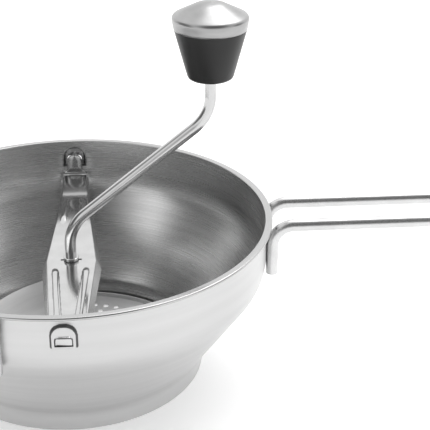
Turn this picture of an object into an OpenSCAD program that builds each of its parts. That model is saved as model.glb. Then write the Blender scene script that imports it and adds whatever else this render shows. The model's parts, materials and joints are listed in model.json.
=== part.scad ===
// Rotary food mill: a deep steel bowl with a sieve disc in its foot, a snap-in crossbar,
// and a sprung crank whose spiral plate presses the food through the disc.
// +Z is up, +X runs along the handle, and the origin is the centre of the resting face.

/* [Bowl] */
// Inside diameter of the bowl at the rim
bowl_d = 240; // [190:1:300]
// Height from the resting face to the top of the rim
bowl_h = 102; // [84:1:140]
// Thickness of the bowl's sheet steel
bowl_t = 1; // [0.7:0.1:1.4]
// Width of the flat rim, from the bore outwards
rim_w = 4.5; // [4:0.1:8]
// Thickness of the folded rim
rim_t = 2; // [1.5:0.1:3]
// Height of the upright band of wall under the rim
band_h = 33.5; // [30:0.5:45]
// Radius of the bend between the upright band and the cone
shoulder_r = 30; // [10:1:40]
// Outside diameter of the collar at the foot of the bowl
collar_d = 162; // [130:1:180]
// Height of the collar
collar_h = 12; // [10:0.5:18]
// Radius of the bend between the collar and the cone
collar_bend_r = 12; // [4:1:14]
// Width of the ledge inside the foot that carries the sieve disc
ledge_w = 9; // [5:0.5:14]

/* [Crossbar pockets] */
// Outside width of the two pressed pockets in the wall
pocket_w = 14; // [13:0.5:18]
// Outside height of a pocket
pocket_h = 14.5; // [13:0.5:18]
// How far a pocket stands out of the wall
pocket_depth = 2.5; // [1.5:0.1:3]
// Depth of a pocket's lower edge below the rim
pocket_drop = 19.5; // [18:0.5:24]
// Width of the window in a pocket
window_w = 10; // [8:0.5:11]
// Height of the window
window_h = 6.4; // [5:0.2:8]

/* [Crossbar] */
// Depth of the crossbar's top below the rim
bridge_drop = 30.5; // [28:0.5:36]
// Thickness of the crossbar's sheet steel
bridge_t = 1.5; // [1:0.1:2]
// Width of the crossbar's flat top at its middle
bridge_w = 31; // [26:1:40]
// Width of the flat top at its two ends
bridge_end_w = 16; // [13:1:20]
// Depth of the folded side flanges
flange_h = 7; // [4:0.5:10]
// How far a flange leans outwards
flange_lean = 2.6; // [0:0.2:4]
// Length of the sloping run at each end of the crossbar
ramp_l = 28; // [20:1:34]
// Rise of the sloping run
ramp_rise = 6.5; // [3:0.5:7]
// Width of the tabs that stand against the wall
tab_w = 10.4; // [9:0.2:12]
// Radius of the half-round stiffening ribs
rib_r = 2.2; // [1.8:0.1:2.6]

/* [Sieve disc] */
// Thickness of the sieve disc
disc_t = 1; // [0.8:0.1:1.5]
// Height of the disc's turned-up edge
disc_lip_h = 4; // [2:0.5:6]
// Diameter of one sieve hole
hole_d = 3.5; // [2:0.5:4]
// Distance between neighbouring holes
hole_pitch = 7.5; // [6.5:0.5:10]

/* [Crank] */
// Diameter of the crank rod
rod_d = 7; // [6:0.5:8]
// Distance from the bowl's axis to the knob's axis
crank_r = 87; // [70:1:95]
// Height of the lower bend's corner above the rim
crank_start = -7.3; // [-10:0.1:0]
// Climb of the slanting run, in degrees above level
crank_climb = 38.8; // [30:0.1:50]
// Bend radius at the centre of the rod
crank_bend_r = 26; // [15:1:30]

/* [Pressing blade] */
// Gap between the spiral plate and the sieve disc's turned-up edge
blade_margin = 8.6; // [2:0.2:12]
// Height that the plate climbs from its trailing to its leading edge
blade_rise = 21; // [12:1:26]
// Angle that the plate covers
blade_turn = 212; // [160:1:240]
// Direction of the leading edge, counted from the crank
blade_lead = 74; // [0:1:90]
// Thickness of the plate
blade_t = 1.5; // [1:0.1:2.5]
// Diameter of the hub
hub_d = 18; // [14:1:24]
// Diameter of the pin through the hub
pin_d = 3; // [2:0.5:4]

/* [Spring] */
// Outside diameter of the spring
spring_d = 17; // [14:0.5:20]
// Diameter of the spring's wire
spring_wire = 1.6; // [1:0.1:2]

/* [Knob] */
// Diameter of the grip at its foot
grip_foot_d = 26.4; // [22:0.4:32]
// Diameter of the grip under its cap
grip_top_d = 41.6; // [36:0.4:46]
// Height of the visible grip
grip_h = 31; // [24:0.5:40]
// Largest diameter of the cap
cap_d = 46.2; // [40:0.2:52]
// Height of the cap's side band
cap_band_h = 7.4; // [5:0.2:10]
// Height of the cap's dome above its band
cap_dome_h = 8.6; // [5:0.2:12]
// Thickness of the cap's sheet steel
cap_t = 0.8; // [0.6:0.1:1.2]
// Length of bare rod between the upper bend and the knob
knob_gap = 11; // [2:0.5:18]

/* [Handle and rests] */
// Diameter of the handle's wire
wire_d = 7.5; // [6:0.5:9]
// Distance between the centres of the two wires
wire_gap = 33; // [28:1:40]
// Length of the handle, from the rim to the outside of its end
handle_l = 174; // [120:1:220]
// Length of a rest loop, from the rim to the outside of its end
rest_l = 44; // [35:1:60]
// Depth of the handle wire's centre below the rim
wire_drop = 4; // [3.8:0.1:8]
// Length of the upright legs, from the wire's centre down
leg_l = 32; // [26:1:36]
// Bend radius at the centre of the handle wire
wire_bend_r = 13; // [8:1:16]
// Angle from the handle round to the front rest loop
front_rest_angle = 115; // [100:1:130]
// Angle from the handle round to the rear rest loop
rear_rest_angle = 126; // [100:1:130]

/* [Clearances] */
// Radial gap of a running fit
run_gap = 0.1; // [0.05:0.01:0.1]
// Gap between parts that pass each other
free_gap = 0.4; // [0.2:0.05:0.8]
// Gap round a snap-in catch
snap_gap = 0.2; // [0.1:0.05:0.4]
// Free height above the catch inside its window
catch_play = 1.2; // [0.4:0.1:1.6]
// Depth to which a welded wire sinks into the wall
weld_sink = 0.15; // [0.05:0.05:0.3]

/* [Hidden] */
$fn = 72;

STEEL = "#c9cacc";
BRIGHT = "#dcdde0";
DARK_STEEL = "#a4a6a9";
BLACK = "#232325";

overlap = 0.02;                                 // overlap that joins mirrored halves
run_in = 0.4;                                   // length of a straight run hidden in a bend
swell = 0.04;                                   // bent wire is thicker by this on each side
reach = 1;                                      // how far a cutter runs past what it cuts

bore_r = bowl_d / 2;
wall_r = bore_r + bowl_t;
collar_r = collar_d / 2;
outlet_r = collar_r - ledge_w;
rim_r = bore_r + rim_w;
cone_z = bowl_h - band_h;
cone_lean = atan2(wall_r - collar_r, cone_z - collar_h);

pocket_z = bowl_h - pocket_drop;
pocket_face = wall_r + pocket_depth;
window_sill = 0.6;                              // wall left under the window
window_z = pocket_z + bowl_t + window_sill;

bridge_z = bowl_h - bridge_drop;
// the bend under the band is limited so that it starts below the crossbar's ends
bend_r = min(shoulder_r, (bridge_z + ramp_rise - cone_z) / tan(cone_lean / 2));
tab_face = bore_r - free_gap - tab_w * tab_w / (8 * bore_r);
ramp_end = tab_face - bridge_t;
ramp_start = ramp_end - ramp_l;
tab_drop = 4.5;                                 // from the pocket's top down to the tab's top
edge_turn = atan2((bridge_w - bridge_end_w) / 2, ramp_end);
rib_sink = 1.4;

disc_z = bowl_t;
disc_top = disc_z + disc_t;
disc_gap = 1.4;                                 // room between the disc's edge and the collar
disc_r = collar_r - bowl_t - disc_gap;
sieve_margin = 5;                               // plain band between holes and ledge
sieve_r = outlet_r - sieve_margin;

rod_r = rod_d / 2;
blade_r = disc_r - disc_t - blade_margin;
blade_z = disc_top + free_gap;
hub_z = blade_z;
hub_head = 1.5;                                 // hub above the plate's highest edge
hub_top = blade_z + blade_rise + blade_t + hub_head;
blade_power = 1.25;                             // above 1 the plate is steepest at its high end
blade_round = 0.13;                             // share of the turn that each end is rounded over
blade_draw = 0.28;                              // share of the plate's width lost at its ends
cup_h = 3;
seat_h = 2.5;
cup_z = hub_top + free_gap;
spring_z = cup_z + 1;
seat_z = bridge_z - bridge_t - seat_h;
spring_top = seat_z + seat_h - 1;

bend_turn = 90 - crank_climb;
bend_run = crank_bend_r * tan(bend_turn / 2);
crank_low = bowl_h + crank_start;
crank_high = crank_low + crank_r * tan(crank_climb);
washer_h = 1;
grip_z = crank_high + bend_run + knob_gap;
grip_top = grip_z + grip_h;
rod_head = 3;                                   // rod above its retaining washer
bush_room = 9.3;                                // hollow of the grip above its bush
bush_top = grip_top - bush_room;
rod_top = bush_top + free_gap + washer_h + rod_head;
cap_lap = 1;                                    // cap stands this far below the grip's top
cap_z = grip_top - cap_lap;
cap_foot_r = grip_top_d / 2 + 0.1;
neck_top = cap_z + cap_band_h - 1.5;            // top of the neck that the cap snaps over
neck_r = cap_foot_r - cap_t - snap_gap;
neck_top_r = neck_r + (cap_d / 2 - cap_foot_r) * (neck_top - cap_z) / cap_band_h;

wire_r = wire_d / 2;
wire_z = bowl_h - wire_drop;
leg_x = sqrt(pow(wall_r + wire_r - weld_sink, 2) - pow(wire_gap / 2, 2));

// ---- outlines --------------------------------------------------------------------------

function unit(v) = v / norm(v);

// Points of the arc that rounds the corner at b, between a and c, with radius r
function corner(a, b, c, r, steps) =
    let (u = unit(a - b), v = unit(c - b),
        half = acos(min(1, max(-1, u * v))) / 2,
        run = min(r / tan(half), norm(a - b) * 0.49, norm(c - b) * 0.49),
        rr = run * tan(half),
        mid = b + unit(u + v) * rr / sin(half),
        s = b + u * run - mid,
        e = b + v * run - mid,
        turn = atan2(s[0] * e[1] - s[1] * e[0], s * e))
    [for (i = [0:steps]) mid + [
        s[0] * cos(turn * i / steps) - s[1] * sin(turn * i / steps),
        s[0] * sin(turn * i / steps) + s[1] * cos(turn * i / steps)]];

// Closed outline whose corners [x, y, r] are rounded; r = 0 keeps a corner sharp
function rounded(p, steps = 8) =
    let (n = len(p))
    [for (i = [0:n - 1])
        let (a = p[(i + n - 1) % n], b = p[i], c = p[(i + 1) % n])
        each b[2] == 0
            ? [[b[0], b[1]]]
            : corner([a[0], a[1]], [b[0], b[1]], [c[0], c[1]], b[2], steps)];

// Upright plate with an arched top, w wide and h high, standing on the line y = 0
module arch(w, h, r) {
    translate([-w / 2, 0]) square([w, h - r]);
    translate([-w / 2 + r, 0]) square([w - 2 * r, h]);
    for (side = [-1, 1]) translate([side * (w / 2 - r), h - r]) circle(r);
}

// The arch as a block that reaches along +Y from y0 to y1, with its foot at height z
module arch_block(w, h, r, y0, y1, z) {
    translate([0, y1, z]) rotate([90, 0, 0]) linear_extrude(y1 - y0) arch(w, h, r);
}

// Round wire along the flat path p, in the plane of X and Z, with bends of radius r
module wire_path(p, d, r) {
    n = len(p);
    function run(i) =
        let (u = unit(p[i - 1] - p[i]), v = unit(p[i + 1] - p[i])) r / tan(acos(u * v) / 2);
    for (i = [0:n - 2]) {
        u = unit(p[i + 1] - p[i]);
        s = i == 0 ? p[i] : p[i] + u * (run(i) - run_in);
        e = i == n - 2 ? p[i + 1] : p[i + 1] - u * (run(i + 1) - run_in);
        translate([s[0], 0, s[1]]) rotate([0, atan2(u[0], u[1]), 0]) cylinder(norm(e - s), d = d);
    }
    for (i = [1:1:n - 2]) {
        u = unit(p[i] - p[i - 1]);
        v = unit(p[i + 1] - p[i]);
        turn = atan2(u[0] * v[1] - u[1] * v[0], u * v);
        side = turn > 0 ? 1 : -1;
        s = p[i] - u * run(i);
        mid = s + side * r * [-u[1], u[0]];
        from = atan2(s[1] - mid[1], s[0] - mid[0]);
        translate([mid[0], 0, mid[1]]) rotate([90, 0, 0]) rotate([0, 0, min(from, from + turn)])
            rotate_extrude(angle = abs(turn)) translate([r, 0]) circle(r = d / 2 + swell);
    }
}

// ---- bowl and sieve --------------------------------------------------------------------

module bowl_shell() {
    t = bowl_t;
    k = t * tan(cone_lean / 2);
    rotate_extrude($fn = 180) polygon(rounded([
        [bore_r, bowl_h, 0.8],
        [rim_r, bowl_h, 0.9],
        [rim_r, bowl_h - rim_t, 0.9],
        [wall_r, bowl_h - rim_t, 0.5],
        [wall_r, cone_z, bend_r],
        [collar_r, collar_h, collar_bend_r],
        [collar_r, 0, 2],
        [outlet_r, 0, 0],
        [outlet_r, t, 0],
        [collar_r - t, t, 1],
        [collar_r - t, collar_h + k, collar_bend_r + t],
        [bore_r, cone_z + k, bend_r - t]]));
}

module bowl() color(STEEL) difference() {
    union() {
        bowl_shell();
        for (side = [0, 180]) rotate([0, 0, side])
            arch_block(pocket_w, pocket_h, pocket_w / 2 - 0.5, bore_r + overlap, pocket_face, pocket_z);
    }
    for (side = [0, 180]) rotate([0, 0, side]) {
        arch_block(pocket_w - 2 * bowl_t, pocket_h - 2 * bowl_t, pocket_w / 2 - 0.5 - bowl_t,
            bore_r - 3 * reach, pocket_face - bowl_t, pocket_z + bowl_t);
        arch_block(window_w, window_h, 2.4, pocket_face - 2 * bowl_t, pocket_face + reach, window_z);
    }
}

// Rings of holes, a pitch apart both round a ring and from ring to ring
module sieve_holes() {
    first = hub_d / 2 + hole_d;
    rings = floor((sieve_r - hole_d / 2 - first) / hole_pitch);
    for (i = [0:rings]) {
        r = first + i * hole_pitch;
        count = floor(2 * PI * r / hole_pitch);
        for (k = [0:count - 1]) rotate([0, 0, 360 * k / count]) translate([r, 0, disc_z - reach])
            cylinder(disc_t + 2 * reach, d = hole_d, $fn = 24);
    }
}

module sieve_disc() color(BRIGHT) difference() {
    rotate_extrude($fn = 180) polygon(rounded([
        [0, disc_z, 0],
        [disc_r, disc_z, 0.9],
        [disc_r, disc_z + disc_lip_h, 0.4],
        [disc_r - disc_t, disc_z + disc_lip_h, 0.4],
        [disc_r - disc_t, disc_top, 0.5],
        [0, disc_top, 0]], 4));
    translate([0, 0, disc_z - reach]) cylinder(disc_t + 2 * reach, r = rod_r + run_gap);
    sieve_holes();
}

// ---- handle and rest loops -------------------------------------------------------------

// Wire loop that is welded to the wall by its two legs and ends in a half circle
module loop(length) {
    end_x = rim_r + length - wire_r - wire_gap / 2;
    for (side = [-1, 1]) translate([0, side * wire_gap / 2, 0])
        wire_path([[leg_x, wire_z - leg_l], [leg_x, wire_z], [end_x + run_in, wire_z]], wire_d, wire_bend_r);
    translate([end_x, 0, wire_z]) rotate([0, 0, -90])
        rotate_extrude(angle = 180) translate([wire_gap / 2, 0]) circle(r = wire_r + swell);
}

module handle() color(STEEL) loop(handle_l);

module front_rest() color(STEEL) rotate([0, 0, -front_rest_angle]) loop(rest_l);

module rear_rest() color(STEEL) rotate([0, 0, rear_rest_angle]) loop(rest_l);

// ---- crossbar --------------------------------------------------------------------------

// Plan of one half of the crossbar, from its middle to the tab
module half_plan() {
    polygon([
        [-bridge_w / 2, 0],
        [bridge_w / 2, 0],
        [bridge_end_w / 2, ramp_end],
        [tab_w / 2, tab_face],
        [-tab_w / 2, tab_face],
        [-bridge_end_w / 2, ramp_end]]);
}

// Side view of one half of the sheet: level run, sloping run, and the foot of the tab
module half_side() {
    top = bridge_z + ramp_rise;
    polygon(rounded([
        [-overlap, bridge_z, 0],
        [ramp_start, bridge_z, 6],
        [ramp_end, top, 1.5],
        [ramp_end, top + 2, 0],
        [tab_face, top + 2, 0],
        [tab_face, top - bridge_t, 3],
        [ramp_start, bridge_z - bridge_t, 6],
        [-overlap, bridge_z - bridge_t, 0]], 6));
}

// One leaning flange, along the edge of one half
module flange(side) {
    length = ramp_start / cos(edge_turn);
    translate([side * bridge_w / 2, 0, bridge_z]) rotate([0, 0, side * edge_turn])
        translate([0, length, 0]) rotate([90, 0, 0]) linear_extrude(length + bridge_w / 4) polygon([
            [0, 0],
            [side * flange_lean, -flange_h],
            [side * (flange_lean - bridge_t), -flange_h],
            [-side * bridge_t, -bridge_t],
            [-side * bridge_t, 0]]);
}

// Stiffening rib beside the edge of one half, with round ends
module rib(side) {
    inset = 5.2;
    near = 9;
    length = ramp_start - near - 2;
    translate([side * (bridge_w / 2 - inset), near, bridge_z - rib_sink])
        rotate([0, 0, side * edge_turn]) rotate([-90, 0, 0]) {
            cylinder(length, r = rib_r);
            sphere(rib_r);
            translate([0, 0, length]) sphere(rib_r);
        }
}

module bridge_half() {
    intersection() {
        rotate([90, 0, 90]) translate([0, 0, -bridge_w]) linear_extrude(2 * bridge_w) half_side();
        linear_extrude(bowl_h) half_plan();
    }
    intersection() {
        for (side = [-1, 1]) flange(side);
        translate([-bridge_w, -overlap, 0]) cube([2 * bridge_w, bore_r, bowl_h]);
    }
    intersection() {
        for (side = [-1, 1]) rib(side);
        translate([-bridge_w, 0, bridge_z - bridge_t / 2]) cube([2 * bridge_w, bore_r, bridge_t + rib_r]);
    }
    // tab against the wall, and the catch that snaps into the window
    tab_h = pocket_z + pocket_h - bridge_z - ramp_rise - tab_drop;
    arch_block(tab_w, tab_h, tab_w / 2 - 0.6, ramp_end, tab_face, bridge_z + ramp_rise);
    arch_block(window_w - 2 * snap_gap, window_h - snap_gap - catch_play, 2.2, ramp_end + bridge_t / 2,
        pocket_face - snap_gap, window_z + snap_gap);
}

module bridge() color(BRIGHT) difference() {
    union() {
        bridge_half();
        rotate([0, 0, 180]) bridge_half();
    }
    translate([0, 0, bridge_z - 2 * bridge_t]) cylinder(4 * bridge_t, r = rod_r + run_gap);
    // two notches beside the rod's hole
    translate([-rod_r - 3, -0.9, bridge_z - 2 * bridge_t]) cube([rod_d + 6, 1.8, 4 * bridge_t]);
}

// ---- spring ----------------------------------------------------------------------------

module spring_seat() color(DARK_STEEL) rotate_extrude() polygon([
    [rod_r + run_gap, seat_z],
    [spring_d / 2 - spring_wire - 0.3, seat_z],
    [spring_d / 2 - spring_wire - 0.3, seat_z + seat_h - 1],
    [spring_d / 2 + 1, seat_z + seat_h - 1],
    [spring_d / 2 + 1, seat_z + seat_h],
    [rod_r + run_gap, seat_z + seat_h]]);

module spring() color(DARK_STEEL) translate([0, 0, spring_z]) difference() {
    cylinder(spring_top - spring_z, d = spring_d);
    translate([0, 0, -reach])
        cylinder(spring_top - spring_z + 2 * reach, r = spring_d / 2 - spring_wire);
}

module spring_cup() color(DARK_STEEL) rotate_extrude() polygon([
    [rod_r + run_gap, cup_z],
    [spring_d / 2 + 1.2, cup_z],
    [spring_d / 2 + 1.2, cup_z + cup_h],
    [spring_d / 2 + 0.3, cup_z + cup_h],
    [spring_d / 2 + 0.3, spring_z],
    [rod_r + run_gap, spring_z]]);

// ---- crank -----------------------------------------------------------------------------

// Cross pin through the hub, thicker by twice the gap g
module cross_pin(g = 0) {
    pin_l = hub_d + 2 * g;
    translate([0, pin_l / 2, hub_z + 0.55 * (hub_top - hub_z)]) rotate([90, 0, 0])
        cylinder(pin_l, d = pin_d + 2 * g);
}

module crank_rod() color(BRIGHT) difference() {
    wire_path([
        [0, free_gap],
        [0, crank_low],
        [crank_r, crank_high],
        [crank_r, rod_top]], rod_d, crank_bend_r);
    cross_pin();
}

module stop_ring() color(BRIGHT) rotate_extrude() polygon(rounded([
    [rod_r, bridge_z + free_gap, 0],
    [rod_r + 1.2, bridge_z + free_gap, 0.4],
    [rod_r + 1.2, bridge_z + free_gap + 2, 0.9],
    [rod_r, bridge_z + free_gap + 2, 0]], 4));

module blade_hub() color(BRIGHT) difference() {
    rotate_extrude() polygon(rounded([
        [rod_r, hub_z, 0],
        [hub_d / 2, hub_z, 0.6],
        [hub_d / 2, hub_top, 1.5],
        [rod_r, hub_top, 0]], 4));
    cross_pin();
    translate([0, hub_d / 2 + reach, hub_z + 0.55 * (hub_top - hub_z)]) rotate([90, 0, 0])
        cylinder(hub_d + 2 * reach, d = pin_d);
}

// Height of the plate's underside at a share s of its turn from the leading edge
function blade_floor(s) = blade_z + blade_rise * pow(1 - s, blade_power);

// Spiral plate: rings of four points from the leading to the trailing edge. The outer
// edge draws in at both ends, so the corners of the plate are round.
module blade() {
    steps = 64;
    inner = hub_d / 2 - weld_sink;
    function outer(s) =
        let (end = min(1, min(s, 1 - s) / blade_round))
        inner + (blade_r - inner) * (1 - blade_draw * (1 - sqrt(1 - pow(1 - end, 2))));
    points = [for (i = [0:steps])
        let (s = i / steps, a = blade_lead + blade_turn * s, z = blade_floor(s))
        each [for (q = [[inner, 0], [outer(s), 0], [outer(s), blade_t], [inner, blade_t]])
            [q[0] * cos(a), q[0] * sin(a), z + q[1]]]];
    last = 4 * steps;
    faces = concat(
        [[0, 1, 2, 3]],
        [for (i = [0:steps - 1]) each [for (k = [0:3])
            each [[4 * i + k, 4 * i + 4 + k, 4 * i + (k + 1) % 4],
                [4 * i + (k + 1) % 4, 4 * i + 4 + k, 4 * i + 4 + (k + 1) % 4]]]],
        [[last + 3, last + 2, last + 1, last]]);
    color(BRIGHT) polyhedron(points, faces);
}

module hub_pin() color(DARK_STEEL) cross_pin();

// ---- knob ------------------------------------------------------------------------------

// Plain ring round the knob's axis, from radius r0 to r1 and from height z0 to z1
module knob_ring(r0, r1, z0, z1) {
    translate([crank_r, 0, 0]) rotate_extrude() translate([r0, z0]) square([r1 - r0, z1 - z0]);
}

module thrust_washer() color(DARK_STEEL)
    knob_ring(rod_r, rod_r + 2, grip_z - free_gap - washer_h, grip_z - free_gap);

module knob_bush() color(DARK_STEEL) knob_ring(rod_r + run_gap, rod_r + 1.3, grip_z + 1, bush_top);

module retaining_washer() color(DARK_STEEL)
    knob_ring(rod_r, rod_r + 3.5, bush_top + free_gap, bush_top + free_gap + washer_h);

module knob_grip() color(BLACK) translate([crank_r, 0, 0]) rotate_extrude() polygon(rounded([
    [rod_r + 1, grip_z, 0],
    [grip_foot_d / 2, grip_z, 2.5],
    [grip_top_d / 2, cap_z, 0.3],
    [neck_r, cap_z, 0],
    [neck_top_r, neck_top, 1],
    [rod_r + 5, neck_top, 0.5],
    [rod_r + 5, bush_top, 0],
    [rod_r + 1.3, bush_top, 0],
    [rod_r + 1.3, grip_z + 1, 0],
    [rod_r + 1, grip_z + 1, 0]], 5));

module knob_cap() {
    top = cap_z + cap_band_h;
    color(STEEL) translate([crank_r, 0, 0]) rotate_extrude() polygon(rounded([
        [cap_foot_r - cap_t, cap_z, 0.1],
        [cap_foot_r, cap_z, 0.2],
        [cap_d / 2, top, 2.4],
        [cap_d / 6, top + cap_dome_h * 0.86, 12],
        [0, top + cap_dome_h, 0],
        [0, top + cap_dome_h - cap_t, 0],
        [cap_d / 6, top + cap_dome_h * 0.86 - cap_t, 11],
        [cap_d / 2 - cap_t, top - cap_t / 2, 1.6]], 6));
}

// ---- the whole mill --------------------------------------------------------------------

bowl();
sieve_disc();
handle();
front_rest();
rear_rest();
bridge();
spring_seat();
spring();
spring_cup();
crank_rod();
stop_ring();
blade_hub();
blade();
hub_pin();
thrust_washer();
knob_bush();
knob_grip();
retaining_washer();
knob_cap();
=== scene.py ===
"""Rotary food mill in stainless steel: a spun bowl on a collar, wire loops, a pressed crossbar
and a sprung crank with a black knob. Lengths are in millimetres and become metres in a mesh."""
import json
import math

import bmesh
import bpy
import numpy as np
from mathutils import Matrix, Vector


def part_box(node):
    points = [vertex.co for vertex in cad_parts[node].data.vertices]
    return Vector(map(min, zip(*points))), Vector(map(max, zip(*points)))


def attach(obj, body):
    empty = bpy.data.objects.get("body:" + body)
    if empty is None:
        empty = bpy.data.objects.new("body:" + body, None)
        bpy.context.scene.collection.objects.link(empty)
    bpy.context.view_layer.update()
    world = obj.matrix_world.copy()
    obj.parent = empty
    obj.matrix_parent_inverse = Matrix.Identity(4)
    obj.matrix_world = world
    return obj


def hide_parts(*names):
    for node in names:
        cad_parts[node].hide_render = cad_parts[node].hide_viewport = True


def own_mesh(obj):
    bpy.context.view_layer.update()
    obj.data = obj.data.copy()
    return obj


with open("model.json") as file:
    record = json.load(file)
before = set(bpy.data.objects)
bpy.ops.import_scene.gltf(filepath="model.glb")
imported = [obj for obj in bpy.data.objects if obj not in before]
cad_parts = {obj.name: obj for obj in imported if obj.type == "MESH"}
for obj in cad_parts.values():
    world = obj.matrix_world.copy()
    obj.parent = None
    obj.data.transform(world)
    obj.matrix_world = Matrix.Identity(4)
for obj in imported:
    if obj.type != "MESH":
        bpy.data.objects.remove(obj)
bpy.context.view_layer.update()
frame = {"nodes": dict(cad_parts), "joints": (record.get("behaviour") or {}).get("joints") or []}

MM = 0.001


# ---- sizes -----------------------------------------------------------------------------------

def span(node):
    """Lowest and highest corner of a CAD node, in millimetres."""
    low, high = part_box(node)
    return np.array(low) / MM, np.array(high) / MM


def joint_named(name):
    """What the frame says of one joint."""
    return next(joint for joint in frame["joints"] if joint["name"] == name)


# bowl: bore, wall, cone, collar and the ledge that the disc lies on
RIM_R, _, RIM_Z = span("bowl")[1]
SHEET = 1.0
RIM_W, RIM_T = 4.5, 2.0
BORE_R = RIM_R - RIM_W
WALL_R = BORE_R + SHEET
CONE_Z = RIM_Z - 33.5
SHOULDER_R = 30.0
COLLAR_R, COLLAR_Z = 81.0, 12.0
COLLAR_BEND_R = 12.0
LEDGE_W = 9.0

# pockets pressed out of the wall, and the window in each
POCKET_W, POCKET_H, POCKET_DEPTH = 15.0, 14.5, 2.5
POCKET_Z = RIM_Z - 19.5
WINDOW_W, WINDOW_H = 10.0, 6.4
WINDOW_Z = POCKET_Z + SHEET + 0.6

# wire loops
handle_low, handle_high = span("handle")
WIRE_R = 3.75
WIRE_GAP = handle_high[1] - handle_low[1] - 2 * WIRE_R
WIRE_BEND = 13.0
WIRE_Z = handle_high[2] - WIRE_R
LEG_L = 32.0
WELD_SINK = 0.15
REST_L = 44.0
FRONT_REST, REAR_REST = 115.0, 126.0

# crossbar: level middle, ramps and upright tabs
BRIDGE_T = 1.5
BRIDGE_Z = RIM_Z - 30.5
FLAT_W, END_W = 31.0, 16.0
FLANGE_H, FLANGE_LEAN = 7.0, 2.6
RAMP_L, RAMP_RISE = 28.0, 6.5
TAB_W = 10.4
TAB_FACE = BORE_R - 0.4 - TAB_W ** 2 / (8 * BORE_R)
TAB_TOP = POCKET_Z + POCKET_H - 4.5
RAMP_END = TAB_FACE - BRIDGE_T
RAMP_START = RAMP_END - RAMP_L

# crank, pressing blade and knob
ROD_R = 3.5
CRANK_R = joint_named("knob_turn")["pos_m"][0] / MM
SLANT_START = RIM_Z - 7.3
SLANT = math.radians(38.8)
ROD_BEND = 26.0
HUB_R = 9.0
BLADE_R, BLADE_T = 69.0, 1.5
GRIP_FOOT_R = 13.2
CAP_BAND_H = 7.4
CAP_T = 0.8


# ---- outlines and surfaces -------------------------------------------------------------------

def rounded(corners, closed=True, steps=10):
    """Outline whose corners (x, y[, z], radius) are arcs. An arc starts radius / tan(half the
    corner's angle) before the corner and is laid by turning the first radius towards the last."""
    points = np.array([corner[:-1] for corner in corners], float)
    n = len(points)
    out = []
    for i, corner in enumerate(points):
        radius = corners[i][-1]
        if radius == 0 or (not closed and i in (0, n - 1)):
            out.append(corner[None])
            continue
        u = points[i - 1] - corner
        v = points[(i + 1) % n] - corner
        room = 0.5 * min(np.linalg.norm(u), np.linalg.norm(v))
        u, v = u / np.linalg.norm(u), v / np.linalg.norm(v)
        half = math.acos(max(-1, min(1, float(u @ v)))) / 2
        run = min(radius / math.tan(half), room)
        radius = run * math.tan(half)
        middle = corner + (u + v) / np.linalg.norm(u + v) * radius / math.sin(half)
        start, end = corner + u * run - middle, corner + v * run - middle
        turn = math.pi - 2 * half
        t = np.linspace(0, 1, steps + 1)[:, None]
        arc = (np.sin((1 - t) * turn) * start + np.sin(t * turn) * end) / math.sin(turn)
        out.append(middle + arc)
    return np.concatenate(out)


def filled(path, step, closed=False):
    """The path with points added so that none is further than step from the next. step may be
    a function of the middle of a stretch."""
    path = np.asarray(path, float)
    ends = np.roll(path, -1, 0) if closed else path[1:]
    out = []
    for a, b in zip(path, ends):
        limit = step((a + b) / 2) if callable(step) else step
        count = max(1, math.ceil(float(np.linalg.norm(b - a)) / limit))
        out.append(a + (b - a) * np.arange(count)[:, None] / count)
    if not closed:
        out.append(path[-1:])
    return np.concatenate(out)


def smooth_step(x):
    """0 below 0, 1 above 1, and 3 x squared - 2 x cubed between."""
    x = np.clip(x, 0, 1)
    return x * x * (3 - 2 * x)


def dome(x):
    """Height of a half circle of radius 1 over x, and 0 beyond its ends."""
    return np.sqrt(np.clip(1 - x ** 2, 0, 1))


def grid_faces(rows, columns, wrap_rows=False, wrap_columns=False, flip=False):
    """Four-sided faces of a grid whose points are numbered row by row."""
    r = np.arange(rows if wrap_rows else rows - 1)[:, None]
    c = np.arange(columns if wrap_columns else columns - 1)[None, :]
    r1, c1 = (r + 1) % rows, (c + 1) % columns
    quads = np.stack([r * columns + c, r * columns + c1, r1 * columns + c1, r1 * columns + c], -1)
    quads = quads.reshape(-1, 4)
    return quads[:, ::-1] if flip else quads


def mesh_from(name, points, faces):
    """A mesh from points in millimetres."""
    mesh = bpy.data.meshes.new(name)
    places = (np.asarray(points, float).reshape(-1, 3) * MM).tolist()
    mesh.from_pydata(places, [], [list(map(int, face)) for face in faces])
    return mesh


def linked(name, data):
    """An object at the origin, put in the scene."""
    obj = bpy.data.objects.new(name, data)
    bpy.context.scene.collection.objects.link(obj)
    return obj


def reworked(mesh, work):
    """Changes a mesh by a function of its editable copy."""
    shape = bmesh.new()
    shape.from_mesh(mesh)
    work(shape)
    shape.to_mesh(mesh)
    shape.free()


def piece(name, points, faces, body, material, slot, stands_for=()):
    """A smooth-shaded piece from points in millimetres, riding on a CAD body."""
    mesh = mesh_from(name, points, faces)
    mesh.validate()
    mesh.update()
    mesh.polygons.foreach_set("use_smooth", np.ones(len(mesh.polygons), bool))
    mesh.materials.append(material)
    obj = linked(name, mesh)
    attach(obj, body)
    if stands_for:
        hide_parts(*stands_for)
    return obj


def revolved(profile, turns, centre=(0, 0)):
    """Points of a closed profile (radius, height) turned round an upright axis: each point goes
    to centre + radius * (cos a, sin a) at its own height, for every angle a in turns."""
    r, z = np.asarray(profile, float).T
    c, s = np.cos(turns)[:, None], np.sin(turns)[:, None]
    return np.stack([centre[0] + c * r, centre[1] + s * r, z + 0 * c], -1)


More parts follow.
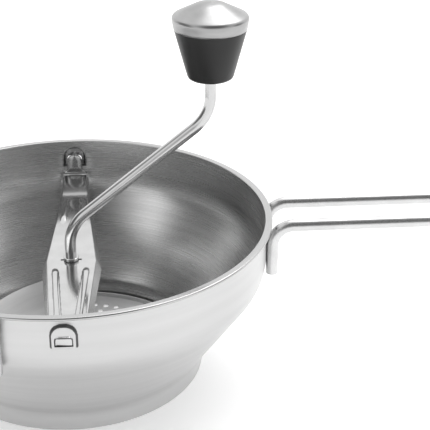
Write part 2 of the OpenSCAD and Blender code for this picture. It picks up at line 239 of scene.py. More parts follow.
def spun(name, profile, body, centre=(0, 0), steps=96, **words):
    """A piece turned from a closed profile that runs out along its foot and up its outside.
    Where the profile meets the axis, its points there are made one, so that the pole is closed."""
    turns = np.linspace(0, 2 * math.pi, steps, endpoint=False)
    faces = grid_faces(steps, len(profile), True, True, flip=True)
    obj = piece(name, revolved(profile, turns, centre), faces, body, **words)

    def close_poles(shape):
        bmesh.ops.remove_doubles(shape, verts=shape.verts, dist=0.001 * MM)
        bmesh.ops.delete(shape, geom=[edge for edge in shape.edges if edge.is_wire], context="EDGES")

    reworked(obj.data, close_poles)


def tube(path, radii, sides):
    """Points of a round tube along a path. The ring's first direction is carried along the path:
    at each point the part of it that lies along the new run is taken away."""
    along = np.gradient(path, axis=0)
    along /= np.linalg.norm(along, axis=1, keepdims=True)
    first = np.cross(along[0], [0.3, 1.0, 0.1])
    sideways = np.empty_like(path)
    for i, run in enumerate(along):
        first = first - run * (first @ run)
        first /= np.linalg.norm(first)
        sideways[i] = first
    up = np.cross(along, sideways)
    a = np.linspace(0, 2 * math.pi, sides, endpoint=False)
    ring = np.cos(a)[None, :, None] * sideways[:, None] + np.sin(a)[None, :, None] * up[:, None]
    return path[:, None] + ring * np.broadcast_to(radii, len(path))[:, None, None]


def wire(name, path, radius, body, sides=40, bevel=0.7, **words):
    """A round wire along a path, with its two ends bevelled and closed."""
    path = np.asarray(path, float)
    first_run = (path[1] - path[0]) / np.linalg.norm(path[1] - path[0])
    last_run = (path[-1] - path[-2]) / np.linalg.norm(path[-1] - path[-2])
    turn = np.linspace(0, math.pi / 2, 6)
    inset = bevel * (1 - np.sin(turn))
    back = bevel * (1 - np.cos(turn))[:, None]
    start = path[0] + first_run * back
    end = path[-1] - last_run * back
    line = np.concatenate([start, path[1:-1], end[::-1]])
    bevelled = radius - inset
    radii = np.concatenate([bevelled, np.full(len(path) - 2, radius), bevelled[::-1]])
    faces = grid_faces(len(line), sides, False, True).tolist()
    last = (len(line) - 1) * sides
    faces += [list(range(sides))[::-1], list(range(last, last + sides))]
    return piece(name, tube(line, radii, sides), faces, body, **words)


def turned_about_z(points, degrees):
    """Points turned about the upright axis."""
    c, s = math.cos(math.radians(degrees)), math.sin(math.radians(degrees))
    return np.asarray(points, float) @ np.array([[c, s, 0], [-s, c, 0], [0, 0, 1]])


# ---- cutting and shading ---------------------------------------------------------------------

def prism(name, layers):
    """Closed block through outlines that have the same number of points, used to cut a hole; it
    is removed afterwards."""
    n = len(layers[0])
    last = (len(layers) - 1) * n
    faces = grid_faces(len(layers), n, False, True).tolist()
    faces += [list(range(n))[::-1], list(range(last, last + n))]
    mesh = mesh_from(name, np.concatenate(layers), faces)
    reworked(mesh, lambda shape: bmesh.ops.recalc_face_normals(shape, faces=shape.faces))
    return linked(name, mesh)


def upright_prism(name, outline, low, high):
    """Block on a flat outline, from one height to another."""
    return prism(name, [np.column_stack([outline, np.full(len(outline), z)]) for z in (low, high)])


def bake(obj):
    """Keeps what a piece's modifiers make as its mesh."""
    bpy.context.view_layer.update()
    shown = obj.evaluated_get(bpy.context.evaluated_depsgraph_get())
    result = bpy.data.meshes.new_from_object(shown)
    obj.modifiers.clear()
    obj.data = result


def thicken(obj, thickness):
    """Gives a skin its wall, on the side away from its faces."""
    wall = obj.modifiers.new("wall", "SOLIDIFY")
    wall.thickness = thickness * MM
    wall.offset = -1
    bake(obj)


def cut(obj, cutters):
    """Cuts helper blocks out of a piece and keeps the result as its mesh."""
    for cutter in cutters:
        modifier = obj.modifiers.new("cut", "BOOLEAN")
        modifier.operation = "DIFFERENCE"
        modifier.solver = "EXACT"
        modifier.object = cutter
    bake(obj)
    for cutter in cutters:
        bpy.data.objects.remove(cutter)


def soften(obj, degrees):
    """Smooth shading, with edges sharper than this angle kept crisp."""
    mesh = obj.data
    mesh.polygons.foreach_set("use_smooth", np.ones(len(mesh.polygons), bool))
    mesh.set_sharp_from_angle(angle=math.radians(degrees))


# ---- materials -------------------------------------------------------------------------------

def colour(code):
    """Linear colour of an sRGB hex code."""
    parts = [int(code[i:i + 2], 16) / 255 for i in (1, 3, 5)]
    return (*[p / 12.92 if p <= 0.04045 else ((p + 0.055) / 1.055) ** 2.4 for p in parts], 1.0)


def add(tree, kind, links=None, stops=(), **settings):
    """Adds a node. settings are its properties, links its sockets: a value, or a socket to join.
    stops are the two (place, hex code) ends of a colour ramp."""
    node = tree.nodes.new(kind)
    for name, value in settings.items():
        setattr(node, name, value)
    for name, value in (links or {}).items():
        socket = node.inputs[name]
        if isinstance(value, bpy.types.NodeSocket):
            tree.links.new(value, socket)
        else:
            socket.default_value = value
    for i, (place, code) in enumerate(stops):
        node.color_ramp.elements[i].position = place
        node.color_ramp.elements[i].color = colour(code)
    return node


def new_material(name, **sockets):
    """A material with one Principled shader whose constant values sit on its own sockets."""
    material = bpy.data.materials.new(name)
    material.use_nodes = True
    tree = material.node_tree
    shader = tree.nodes["Principled BSDF"]
    for socket, value in sockets.items():
        shader.inputs[socket.replace("_", " ")].default_value = value
    return material, tree, shader


def join_patterns(tree, shader, tone_by, tones, rough_by, rough_from, rough_to, relief_by, relief):
    """Joins three patterns to the shader: one picks between two tones, one sets the roughness
    between two values, and one is the relief, given as its strength and its height in mm."""
    tone = add(tree, "ShaderNodeValToRGB", {"Fac": tone_by}, stops=((0.3, tones[0]), (0.7, tones[1])))
    tree.links.new(tone.outputs["Color"], shader.inputs["Base Color"])
    spread = add(tree, "ShaderNodeMapRange", {
        "Value": rough_by, "From Min": rough_from[0], "From Max": rough_from[1],
        "To Min": rough_to[0], "To Max": rough_to[1]})
    tree.links.new(spread.outputs[0], shader.inputs["Roughness"])
    strength, height = relief
    bump = add(tree, "ShaderNodeBump", {"Height": relief_by, "Strength": strength, "Distance": height * MM})
    tree.links.new(bump.outputs[0], shader.inputs["Normal"])


def ring_space(tree, centre, round_scale, cross_mm):
    """Coordinates that run along the rings of a turned surface: the direction from the axis
    times round_scale, which hardly changes along a ring's arc, and radius plus height, one unit
    for every cross_mm."""
    place = add(tree, "ShaderNodeTexCoord").outputs["Object"]
    off_axis = (-centre[0] * MM, -centre[1] * MM, 0.0)
    moved = add(tree, "ShaderNodeMapping", {"Vector": place, "Location": off_axis}).outputs[0]
    flat = add(tree, "ShaderNodeVectorMath", {0: moved, 1: (1.0, 1.0, 0.0)}, operation="MULTIPLY").outputs[0]
    radius = add(tree, "ShaderNodeVectorMath", {0: flat}, operation="LENGTH").outputs["Value"]
    direction = add(tree, "ShaderNodeVectorMath", {0: flat}, operation="NORMALIZE").outputs[0]
    parts = add(tree, "ShaderNodeSeparateXYZ", {0: direction}).outputs
    height = add(tree, "ShaderNodeSeparateXYZ", {0: moved}).outputs["Z"]
    across = add(tree, "ShaderNodeMath", {0: radius, 1: height}, operation="ADD").outputs[0]
    scaled = (parts["X"], round_scale), (parts["Y"], round_scale), (across, 1.0 / (cross_mm * MM))
    x, y, z = [add(tree, "ShaderNodeMath", {0: value, 1: scale}, operation="MULTIPLY").outputs[0]
               for value, scale in scaled]
    return add(tree, "ShaderNodeCombineXYZ", {"X": x, "Y": y, "Z": z}).outputs[0]


def spun_steel(name, tones, rough, rough_spread, bump, line_mm, centre=(0.0, 0.0), anisotropy=0.0):
    """Stainless steel brushed in rings: lines across the rings, about line_mm apart, in the bump
    and the roughness, and broad faint bands in the tone. The real lines are ten times finer and
    too fine to show. They stretch a highlight across themselves, so it spreads into a fan."""
    material, tree, shader = new_material(
        name, Metallic=1.0, Anisotropic=anisotropy, Anisotropic_Rotation=0.25)
    if anisotropy:
        along_rings = add(tree, "ShaderNodeTangent", direction_type="RADIAL", axis="Z")
        tree.links.new(along_rings.outputs[0], shader.inputs["Tangent"])
    fine = ring_space(tree, centre, 2.5, line_mm)
    wide = ring_space(tree, centre, 1.2, 14 * line_mm)
    lines = add(tree, "ShaderNodeTexNoise", {
        "Vector": fine, "Scale": 1.0, "Detail": 3.0, "Roughness": 0.6}).outputs["Fac"]
    bands = add(tree, "ShaderNodeTexNoise", {"Vector": wide, "Scale": 1.0, "Detail": 2.0}).outputs["Fac"]
    join_patterns(tree, shader, bands, tones, lines, (0.3, 0.7),
                  (rough - rough_spread, rough + rough_spread), lines, (bump, 0.1))
    return material


def bright_steel(name, tones, rough, wave):
    """Stainless steel pressed or drawn and then polished: a clear reflection, with the slight
    waviness of bent sheet and a trace of fine scuffs in the roughness."""
    scuff_mm, cloud_mm, wave_mm = 0.35, 14.3, 35.7
    material, tree, shader = new_material(name, Metallic=1.0)
    place = add(tree, "ShaderNodeTexCoord").outputs["Object"]
    scuffs, clouds, waves = [add(tree, "ShaderNodeTexNoise", {
        "Vector": place, "Scale": 1.0 / (size * MM), "Detail": detail, "Roughness": grit}).outputs["Fac"]
        for size, detail, grit in ((scuff_mm, 4.0, 0.7), (cloud_mm, 2.0, 0.5), (wave_mm, 1.0, 0.5))]
    join_patterns(tree, shader, clouds, tones, scuffs, (0.35, 0.75), (rough, rough * 2.2),
                  waves, (wave, 2.0))
    return material


def moulded_plastic(name, tones):
    """Black polypropylene from a finely sparked mould: a soft sheen broken by a grain, which is
    drawn coarser than the real one so that it shows."""
    grain_mm, cloud_mm = 0.25, 16.7
    material, tree, shader = new_material(name, IOR=1.49)
    place = add(tree, "ShaderNodeTexCoord").outputs["Object"]
    grain, clouds = [add(tree, "ShaderNodeTexNoise", {
        "Vector": place, "Scale": 1.0 / (size * MM), "Detail": detail, "Roughness": grit}).outputs["Fac"]
        for size, detail, grit in ((grain_mm, 3.0, 0.65), (cloud_mm, 2.0, 0.5))]
    join_patterns(tree, shader, clouds, tones, grain, (0.3, 0.7), (0.34, 0.46), grain, (0.25, 0.05))
    return material


# Inside of the bowl, spun on a lathe and brushed while it turned: light fans out across it.
inside_steel = spun_steel("ring_brushed_stainless", ("#c6c6c6", "#d0d0d0"), rough=0.28,
                          rough_spread=0.05, bump=0.1, line_mm=0.45, anisotropy=0.6)
# Outside of the bowl, satined with a finer belt: a pale, even, softly blurred surface.
outside_steel = spun_steel("satin_stainless", ("#cacaca", "#d0d0d0"), rough=0.34,
                           rough_spread=0.03, bump=0.05, line_mm=0.5, anisotropy=0.3)
# The rim, trimmed and turned last: a narrow and clearer glint.
rim_steel = spun_steel("turned_rim_stainless", ("#bababa", "#c4c4c4"), rough=0.22,
                       rough_spread=0.04, bump=0.06, line_mm=0.4)
# Steep sides of the pressed pockets and the window edges: grey and matt, a darker tone painted as the shade
# that gathers in these pressed corners.
pocket_shade_steel = bright_steel("pocket_painted_shade_stainless", ("#6e6e6e", "#7a7a7a"), rough=0.45, wave=0.03)
# Drawn wire: bright, with its highlight a little blurred by the die.
wire_steel = bright_steel("drawn_stainless_wire", ("#cecece", "#d8d8d8"), rough=0.2, wave=0.03)
# Pressed sheet and rod, buffed: almost a mirror, with soft waves.
polished_steel = bright_steel("polished_stainless", ("#c6c6c6", "#d0d0d0"), rough=0.1, wave=0.08)
# The sieve disc, blanked and satined: pale and matt.
sieve_steel = spun_steel("satin_sieve_plate", ("#e2e2e2", "#eaeaea"), rough=0.52,
                         rough_spread=0.04, bump=0.05, line_mm=0.6)
# The pressing blade as it comes from the rolls: matt, slightly darker.
plate_steel = spun_steel("rolled_stainless_plate", ("#c0c0c0", "#cacaca"), rough=0.4,
                         rough_spread=0.05, bump=0.06, line_mm=0.6)
# Spring wire and small turned parts: plain grey steel with a fair gloss.
spring_steel = bright_steel("plain_stainless", ("#8c8c8c", "#9a9a9a"), rough=0.22, wave=0.05)
# The knob's cap, turned and brushed about its own axis: a soft highlight with fine rings.
cap_steel = spun_steel("turned_stainless_cap", ("#a2a2a2", "#b0b0b0"), rough=0.32,
                       rough_spread=0.04, bump=0.1, line_mm=0.35, centre=(CRANK_R, 0.0))
# The grip: black, with a broad dim sheen.
black_plastic = moulded_plastic("sparked_black_plastic", ("#0f0f0f", "#151515"))


# ---- bowl ------------------------------------------------------------------------------------

def arch_distance(x, z, width, height):
    """Distance inside (negative) or outside (positive) of an upright arch on the line z = 0: a
    rectangle whose two upper corners are rounded almost to a half disc."""
    r = width / 2 - 0.5
    flat_top = height - r
    below = np.maximum(np.abs(x) - width / 2, -z)
    corner = np.hypot(np.maximum(np.abs(x) - (width / 2 - r), 0), np.maximum(z - flat_top, 0)) - r
    return np.where(z < flat_top, below, np.maximum(corner, -z))


def pocket_push(points):
    """Moves wall points outwards along Y where the two pockets are pressed: by the whole depth
    inside an arch, falling to nothing at its edge over a short slope. The inner skin has a wider
    arch and a longer slope, but is never pushed much further than the outer skin."""
    side_slope, foot_slope, foot_h = 1.1, 0.6, 1.2
    wider, higher, lower, inner_slope, further = 2.4, 1.8, 0.6, 2.6, 0.6
    x, y, z = points[..., 0], points[..., 1], points[..., 2]
    inside = arch_distance(x, z - POCKET_Z, POCKET_W, POCKET_H)
    slope = np.where(z < POCKET_Z + foot_h, foot_slope, side_slope)
    push = POCKET_DEPTH * smooth_step(-inside / slope)
    inside = arch_distance(x, z - POCKET_Z + lower, POCKET_W + wider, POCKET_H + higher)
    inner_push = POCKET_DEPTH * smooth_step(-inside / inner_slope)
    radius = np.hypot(x, y)
    push = np.where(radius < BORE_R + SHEET / 2, np.minimum(inner_push, push + further), push)
    on_wall = (np.abs(x) < POCKET_W) & (radius > BORE_R - 1.5)
    out = points.copy()
    out[..., 1] += np.sign(y) * push * on_wall
    return out


def window_cutter(side):
    """Block with an arched outline that cuts the window of the pocket on this side."""
    outline = rounded([
        (-WINDOW_W / 2, 0, 0), (WINDOW_W / 2, 0, 0),
        (WINDOW_W / 2, WINDOW_H, 2.4), (-WINDOW_W / 2, WINDOW_H, 2.4)], steps=8)
    face = WALL_R + POCKET_DEPTH
    return prism("window", [
        np.column_stack([outline[:, 0], np.full(len(outline), y), outline[:, 1] + WINDOW_Z])
        for y in sorted((side * (face - 3), side * (face + 3)))])


def make_bowl():
    """The bowl's sheet as one closed profile turned round the axis, with the pockets pressed out
    of its wall and a window cut in each. Rows and columns are closer together at the pockets."""
    lean = math.atan2(WALL_R - COLLAR_R, CONE_Z - COLLAR_Z)
    inner_rise = SHEET * math.tan(lean / 2)
    profile = rounded([
        (BORE_R, RIM_Z, 0.8),
        (RIM_R, RIM_Z, 0.95),
        (RIM_R, RIM_Z - RIM_T, 0.95),
        (WALL_R, RIM_Z - RIM_T, 0.5),
        (WALL_R, CONE_Z, SHOULDER_R),
        (COLLAR_R, COLLAR_Z, COLLAR_BEND_R),
        (COLLAR_R, 0, 2.6),
        (COLLAR_R - LEDGE_W, 0, 0.3),
        (COLLAR_R - LEDGE_W, SHEET, 0.3),
        (COLLAR_R - SHEET, SHEET, 1.6),
        (COLLAR_R - SHEET, COLLAR_Z + inner_rise, COLLAR_BEND_R + SHEET),
        (BORE_R, CONE_Z + inner_rise, SHOULDER_R - SHEET)])
    low, high = POCKET_Z - 0.5, POCKET_Z + POCKET_H + 0.5
    profile = filled(profile, lambda p: 0.3 if low < p[1] < high else 3.0, closed=True)
    near = 4
    edges = np.array([[0], [90 - near], [90 + near], [270 - near], [270 + near], [360]], float)
    turns = filled(edges, lambda p: 0.14 if abs(abs(p[0] - 180) - 90) < near else 2.0)[:-1, 0]
    points = pocket_push(revolved(profile, np.radians(turns)))
    bowl = piece("bowl_shell", points, grid_faces(len(turns), len(profile), True, True), "frame",
                 stands_for=["bowl"], material=inside_steel, slot="satin_steel")
    for finish in (outside_steel, rim_steel, pocket_shade_steel):
        bowl.data.materials.append(finish)
    cut(bowl, [window_cutter(-1), window_cutter(1)])
    paint_bowl(bowl.data)


def paint_bowl(mesh):
    """Gives each face its finish by where its middle lies: inside 0, outside 1, rim 2, or 3 for
    the steep sides of a pocket and the cut edges of a window, which get a darker grey as painted shade."""
    n = len(mesh.polygons)
    middle, normal = np.empty(n * 3), np.empty(n * 3)
    mesh.polygons.foreach_get("center", middle)
    mesh.polygons.foreach_get("normal", normal)
    x, y, z = (middle.reshape(n, 3) / MM).T
    nx, ny, nz = normal.reshape(n, 3).T
    radius = np.hypot(x, y)
    outward = (x * nx + y * ny) / np.maximum(radius, 1)
    finish = np.where((outward > 0) | (nz < -0.3), 1, 0)
    rim = (z > RIM_Z - RIM_T - 0.05) & (radius > BORE_R + 0.02)
    pocket = (np.abs(x) < POCKET_W / 2 + 0.4) & (z > POCKET_Z - 0.3) & (z < POCKET_Z + POCKET_H + 0.3)
    # steep pocket sides and window edges get finish 3, the darker grey that is painted shade
    steep = pocket & (radius > WALL_R - 0.3) & (np.abs(ny) < 0.8)
    finish = np.where(steep, 3, finish)
    finish = np.where(rim, 2, finish)
    mesh.polygons.foreach_set("material_index", finish.astype(np.int32))
    mesh.polygons.foreach_set("use_smooth", np.ones(n, bool))
    mesh.update()


# ---- wire loops ------------------------------------------------------------------------------

def loop_path(reach):
    """Middle line of a wire loop: up one leg, out, round a half circle and back to the other leg.
    The legs touch the wall where it is as far from the axis as wall and wire together."""
    half = WIRE_GAP / 2
    leg = math.sqrt((WALL_R + WIRE_R - WELD_SINK) ** 2 - half ** 2)
    foot, far = WIRE_Z - LEG_L, reach - WIRE_R
    path = rounded([
        (leg, -half, foot, 0), (leg, -half, WIRE_Z, WIRE_BEND), (far, -half, WIRE_Z, half),
        (far, half, WIRE_Z, half), (leg, half, WIRE_Z, WIRE_BEND), (leg, half, foot, 0)],
        closed=False, steps=20)
    return filled(path, 6.0)


def make_loops():
    """The handle and the two rests: the same wire at three places round the wall."""
    words = dict(radius=WIRE_R, body="frame", material=wire_steel, slot="wire_steel", sides=48)
    wire("handle_wire", loop_path(handle_high[0]), stands_for=["handle"], **words)
    rest = loop_path(RIM_R + REST_L)
    wire("front_rest_wire", turned_about_z(rest, -FRONT_REST), stands_for=["front_rest"], **words)
    wire("rear_rest_wire", turned_about_z(rest, REAR_REST), stands_for=["rear_rest"], **words)


# ---- crossbar --------------------------------------------------------------------------------

def bar_widths(y, arc, at_tab):
    """Half the flat's width along one half of the crossbar: a straight taper, a short neck down
    to the tab, and a half disc at the tab's top."""
    half = FLAT_W / 2 + (END_W - FLAT_W) / 2 * np.clip(y / RAMP_END, 0, 1)
    neck = smooth_step((arc - at_tab - 0.3) / 3.0)
    half = half * (1 - neck) + TAB_W / 2 * neck
    top = np.clip((arc - (arc[-1] - TAB_W / 2)) / (TAB_W / 2), 0, 1)
    return np.maximum(half * np.sqrt(np.maximum(1 - top ** 2, 0)), 0.15)


def rib_heights(x, half, arc, start):
    """Height of the stiffening rib beside the flat's edge: a half ellipse across, with a round
    end where it starts and a long one at the ramp."""
    inset, rib_r, rib_h = 5.2, 2.2, 1.3
    start_l, ramp_end_l = 9, 12
    ends = np.clip((arc - start) / start_l, 0, 1) * np.clip((RAMP_START + 1 - arc) / ramp_end_l, 0, 1)
    width = rib_r * dome(1 - ends)[:, None] + 1e-6
    return dome((x - (half - inset)) / width) * rib_h * smooth_step(ends)[:, None]


def make_bridge():
    """The crossbar's top skin as a grid: rows follow the bar's side view, level, ramp and upright
    tab; across, each row is a flat, a quarter bend and a leaning flange. Two ribs stand on the
    flat and the tab is crowned, each by the height of a half ellipse. A wall thickness is then
    given to the skin, towards its underside. The front ribs start nearer the rod."""
    spine = filled(rounded([
        (0, BRIDGE_Z, 0), (RAMP_START, BRIDGE_Z, 45), (RAMP_END, BRIDGE_Z + RAMP_RISE, 2.4),
        (RAMP_END, TAB_TOP, 0)], closed=False), 0.75)
    arc = np.concatenate([[0], np.cumsum(np.hypot(*np.diff(spine, axis=0).T))])
    along = np.gradient(spine, axis=0)
    along /= np.linalg.norm(along, axis=1, keepdims=True)
    up = np.stack([-along[:, 1], along[:, 0]], -1)
    y, z = spine.T
    at_ramp = arc[np.argmax(y > RAMP_START)]
    at_tab = arc[np.argmax(z > BRIDGE_Z + RAMP_RISE)]
    half = bar_widths(y, arc, at_tab)[:, None]

    # the flange gets shallower towards the ramp and again on it, and flattens out before the tab
    taper = 0.45
    folded = 1 - smooth_step((arc - at_tab + 9) / 8)[:, None]
    depth = FLANGE_H * (1 - taper * arc / at_ramp) * (1 - taper * smooth_step((arc - at_ramp + 4) / 18))

    # across: the flat, the bend and the flange, as distance x from the middle and height d
    bend_r = 1.8
    flat_steps, bend_steps, flange_steps = 45, 8, 9
    tilt = (math.pi / 2 - math.atan2(FLANGE_LEAN, FLANGE_H)) * folded
    flat_half = np.maximum(half - bend_r * np.tan(tilt / 2), 0.1)
    x_flat = flat_half * np.linspace(0, 1, flat_steps)
    turn = tilt * np.linspace(0, 1, bend_steps)[1:]
    x_bend, d_bend = flat_half + bend_r * np.sin(turn), -bend_r * (1 - np.cos(turn))
    run = (depth[:, None] * folded + 0.02) * np.linspace(0, 1, flange_steps)[1:]
    x_fall = x_bend[:, -1:] + run * np.cos(tilt)
    d_fall = d_bend[:, -1:] - run * np.sin(tilt)
    x = np.concatenate([x_flat, x_bend, x_fall], 1)
    d = np.concatenate([0 * x_flat, d_bend, d_fall], 1)
    crown_h = 1.5
    d = d + dome(x / np.maximum(half, 0.5)) * crown_h * smooth_step((arc - at_tab - 1) / 4)[:, None]

    # both halves: side -1 is the front, and each row is mirrored across
    skins = []
    for side, rib_start in ((-1, 9.5), (1, 52.0)):
        rise = d + rib_heights(x, half, arc, rib_start)
        rise = np.concatenate([rise[:, :0:-1], rise], 1)
        skins.append(np.stack([
            np.concatenate([-x[:, :0:-1], x], 1),
            side * (y[:, None] + up[:, :1] * rise),
            z[:, None] + up[:, 1:] * rise], -1))
    points = np.concatenate([skins[0][:0:-1], skins[1]])
    bar = piece("crossbar", points, grid_faces(*points.shape[:2]), "frame", stands_for=["bridge"],
                material=polished_steel, slot="polished_steel")
    thicken(bar, BRIDGE_T)

    hole_r, notch_l, notch_w = 3.6, 13.0, 1.8
    turn = np.linspace(0, 2 * math.pi, 48, endpoint=False)
    hole = hole_r * np.column_stack([np.cos(turn), np.sin(turn)])
    notch = np.array([[-1, -1], [1, -1], [1, 1], [-1, 1]]) * (notch_l / 2, notch_w / 2)
    cut(bar, [upright_prism("cutter", outline, BRIDGE_Z - 5, BRIDGE_Z + 5) for outline in (hole, notch)])
    soften(bar, 35)


def make_catches():
    """The two catches pressed out of the tabs, which reach into the windows from inside and
    leave a free slit above. The last layers shrink, which rounds the edge."""
    gap, play = 0.2, 1.2
    half, top = WINDOW_W / 2 - gap, WINDOW_H - gap - play
    outline = rounded([(-half, 0, 0.5), (half, 0, 0.5), (half, top, 2.2), (-half, top, 2.2)], steps=8)
    n = len(outline)
    centre = outline.mean(0)
    face = WALL_R + POCKET_DEPTH - 0.5
    layers = [(RAMP_END + 0.4, 1.0), (face - 0.7, 1.0), (face - 0.25, 0.97), (face, 0.88)]
    first, last = list(range(n)), list(range((len(layers) - 1) * n, len(layers) * n))
    for name, side in (("front_catch", -1), ("rear_catch", 1)):
        points = []
        for y, share in layers:
            x, z = (centre + (outline - centre) * share).T
            points.append(np.column_stack([x, np.full(n, side * y), WINDOW_Z + gap + z]))
        faces = grid_faces(len(layers), n, False, True, flip=side > 0).tolist()
        faces += [first[::-1], last] if side < 0 else [first, last[::-1]]
        obj = piece(name, np.concatenate(points), faces, "frame", material=polished_steel,
                    slot="polished_steel")
        soften(obj, 50)


# ---- crank and blade -------------------------------------------------------------------------

def make_crank():
    """The crank rod, bent along one line: up the axis, along a slant, and up into the knob."""
    (_, _, foot), (_, _, head) = span("crank_rod")
    slant_end = SLANT_START + CRANK_R * math.tan(SLANT)
    path = rounded([
        (0, 0, foot, 0), (0, 0, SLANT_START, ROD_BEND), (CRANK_R, 0, slant_end, ROD_BEND),
        (CRANK_R, 0, head, 0)], closed=False, steps=28)
    wire("crank_wire", filled(path, 4.0), ROD_R, "crank", sides=56, bevel=0.5, stands_for=["crank_rod"],
         material=polished_steel, slot="polished_steel")


def make_blade():
    """The pressing blade: a spiral plate whose height falls as the power 1.25 of the share of the
    turn still to go. Its outer edge draws in on a quarter ellipse at both ends."""
    low, high = span("blade")
    rise = high[2] - low[2] - BLADE_T
    lead, turn, power = math.radians(74), math.radians(212), 1.25
    rounded_share, drawn_in = 0.13, 0.28
    rows, columns = 181, 40
    s = np.linspace(0, 1, rows)[:, None]
    end = np.minimum(np.minimum(s, 1 - s) / rounded_share, 1)
    inner = HUB_R - WELD_SINK
    outer = inner + (BLADE_R - inner) * (1 - drawn_in + drawn_in * dome(1 - end))
    r = inner + (outer - inner) * np.linspace(0, 1, columns)
    a = lead + turn * s
    z = low[2] + BLADE_T + rise * (1 - s) ** power
    points = np.stack([r * np.cos(a), r * np.sin(a), z + 0 * r], -1)
    plate = piece("press_blade", points, grid_faces(rows, columns, flip=True), "crank",
                  stands_for=["blade"], material=plate_steel, slot="polished_steel")
    thicken(plate, BLADE_T)
    soften(plate, 40)


def make_spring():
    """Coil spring: a helix between its two end plates, with the first and last turn closed up."""
    low, high = span("spring")
    wire_r, turns, dead_turns = 0.8, 8, 0.6
    radius, length = high[0] - wire_r, high[2] - low[2]
    t = np.linspace(0, 1, turns * 48 + 1)
    dead = dead_turns / turns
    climb = np.clip((t - dead) / (1 - 2 * dead), 0, 1)
    a = 2 * math.pi * turns * t
    z = low[2] + wire_r + (length - 2 * wire_r) * climb
    path = np.stack([radius * np.cos(a), radius * np.sin(a), z], -1)
    coil = wire("coil_spring", path, wire_r, "frame", sides=12, bevel=0.3, stands_for=["spring"],
                material=spring_steel, slot="spring_steel")
    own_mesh(coil)


# ---- knob ------------------------------------------------------------------------------------

def make_knob():
    """The knob's grip, a hollow cone with a soft foot and a neck inside the cap, and its cap: a
    leaning band and a dome, each turned from one closed profile."""
    (grip_left, _, foot_z), (grip_right, _, _) = span("knob_grip")
    (cap_left, _, low), (cap_right, _, high) = span("knob_cap")
    grip_r, cap_r = (grip_right - grip_left) / 2, (cap_right - cap_left) / 2
    bore, neck_h = 4.9, 4
    centre = (CRANK_R, 0)
    spun("knob_body", rounded([
        (bore, foot_z, 0.5), (GRIP_FOOT_R, foot_z, 2.6), (grip_r, low, 0.3), (grip_r - 1.2, low + 0.1, 0.1),
        (grip_r - 1, low + neck_h, 1), (bore, low + neck_h, 0.5)], steps=8), "knob", centre,
        stands_for=["knob_grip"], material=black_plastic, slot="black_plastic")
    band = low + CAP_BAND_H
    foot = grip_r + 0.1
    crown = (cap_r / 3, high - 1.1)
    outer = rounded([
        (foot, low, 0.25), (cap_r, band, 2.6), (*crown, 16), (0, high, 0)], closed=False, steps=14)
    inner = rounded([
        (0, high - CAP_T, 0), (crown[0], crown[1] - CAP_T, 15), (cap_r - CAP_T, band - CAP_T / 2, 1.8),
        (foot - CAP_T, low, 0)], closed=False, steps=14)
    spun("knob_crown", np.concatenate([filled(outer, 1.2), filled(inner, 1.2)]), "knob", centre, steps=128,
         stands_for=["knob_cap"], material=cap_steel, slot="cap_steel")


# ---- carried-over nodes ----------------------------------------------------------------------

def finish_node(node, material):
    """Gives a CAD node its finish."""
    mesh = frame["nodes"][node].data
    mesh.materials.clear()
    mesh.materials.append(material)


# ---- studio ----------------------------------------------------------------------------------

def make_camera():
    """Camera in front of the bowl and above it, turned a little to the right: at a distance from
    the bowl's axis and a height above the rim, swung round the axis."""
    distance, above_rim, swing = 680.8, 323.9, math.radians(3.0)
    pan, dip = math.radians(4.54), math.radians(25.62)
    data = bpy.data.cameras.new("camera")
    data.lens, data.sensor_width = 102.6, 36.0
    camera = linked("camera", data)
    place = (distance * math.sin(swing), -distance * math.cos(swing), RIM_Z + above_rim)
    camera.location = Vector(place) * MM
    camera.rotation_euler = (math.pi / 2 - dip, 0, -pan)
    bpy.context.scene.camera = camera


def make_floor():
    """Pale floor, faintly lit from within so that it stays near white."""
    half = 3.0 / MM
    corners = [(-half, -half, 0), (half, -half, 0), (half, half, 0), (-half, half, 0)]
    obj = linked("floor", mesh_from("floor", corners, [(0, 1, 2, 3)]))
    material, _, shader = new_material("pale_floor", Roughness=0.9, Emission_Strength=0.36)
    shader.inputs["Base Color"].default_value = colour("#fafafa")
    shader.inputs["Emission Color"].default_value = colour("#ffffff")
    obj.data.materials.append(material)


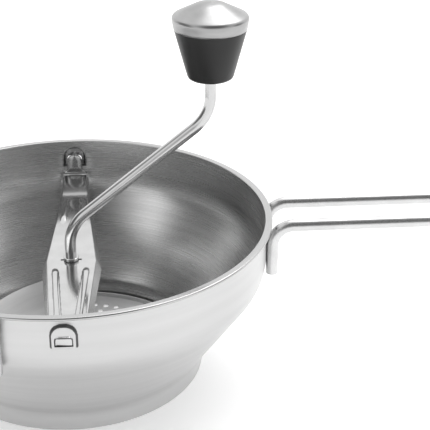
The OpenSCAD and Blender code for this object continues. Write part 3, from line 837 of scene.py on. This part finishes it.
def make_sky():
    """White surroundings with soft grey screens, which give polished steel its dark reflections:
    one above the front, one low at the right, and two at the left. Each is grey where the way
    looked along is close to the screen's own, by the cosine of the angle between them."""
    screens = (((0.1, -0.78, 0.62), 0.6, 0.92), ((1.0, -0.1, 0.12), 0.92, 0.98),
               ((-1.0, -0.25, 0.12), 0.92, 0.98), ((-0.95, 0.05, 0.34), 0.84, 0.98))
    world = bpy.data.worlds.new("studio")
    bpy.context.scene.world = world
    world.use_nodes = True
    tree = world.node_tree
    background = tree.nodes["Background"]
    way = add(tree, "ShaderNodeTexCoord").outputs["Generated"]
    grey = 0.0
    for place, edge, full in screens:
        toward = Vector(place).normalized()
        cosine = add(tree, "ShaderNodeVectorMath", {0: way, 1: toward}, operation="DOT_PRODUCT")
        screen = add(tree, "ShaderNodeMapRange", {
            "Value": cosine.outputs["Value"], "From Min": edge, "From Max": full},
            interpolation_type="SMOOTHSTEP").outputs[0]
        grey = add(tree, "ShaderNodeMath", {0: grey, 1: screen}, operation="MAXIMUM").outputs[0]
    tone = add(tree, "ShaderNodeValToRGB", {"Fac": grey}, stops=((0.0, "#ffffff"), (1.0, "#6c6c6c")))
    tree.links.new(tone.outputs["Color"], background.inputs["Color"])
    background.inputs["Strength"].default_value = 1.15


def make_soft_light():
    """A square soft box above and behind the bowl, facing it."""
    place, target, size = (0.45, 0.5, 1.2), (0, 0, 0.08), 0.8
    data = bpy.data.lights.new("key", "AREA")
    data.shape, data.size, data.size_y = "RECTANGLE", size, size
    data.energy = 5
    obj = linked("key", data)
    obj.location = place
    obj.rotation_euler = (Vector(target) - Vector(place)).to_track_quat("-Z", "Y").to_euler()


make_camera()
make_floor()
make_sky()
make_soft_light()
bpy.context.scene.view_settings.view_transform = "Standard"
make_bowl()
make_loops()
make_bridge()
make_catches()
make_crank()
make_blade()
make_spring()
make_knob()
finish_node("sieve_disc", sieve_steel)
for name in ("stop_ring", "blade_hub"):
    finish_node(name, polished_steel)
for name in ("spring_seat", "spring_cup", "hub_pin", "thrust_washer", "knob_bush", "retaining_washer"):
    finish_node(name, spring_steel)
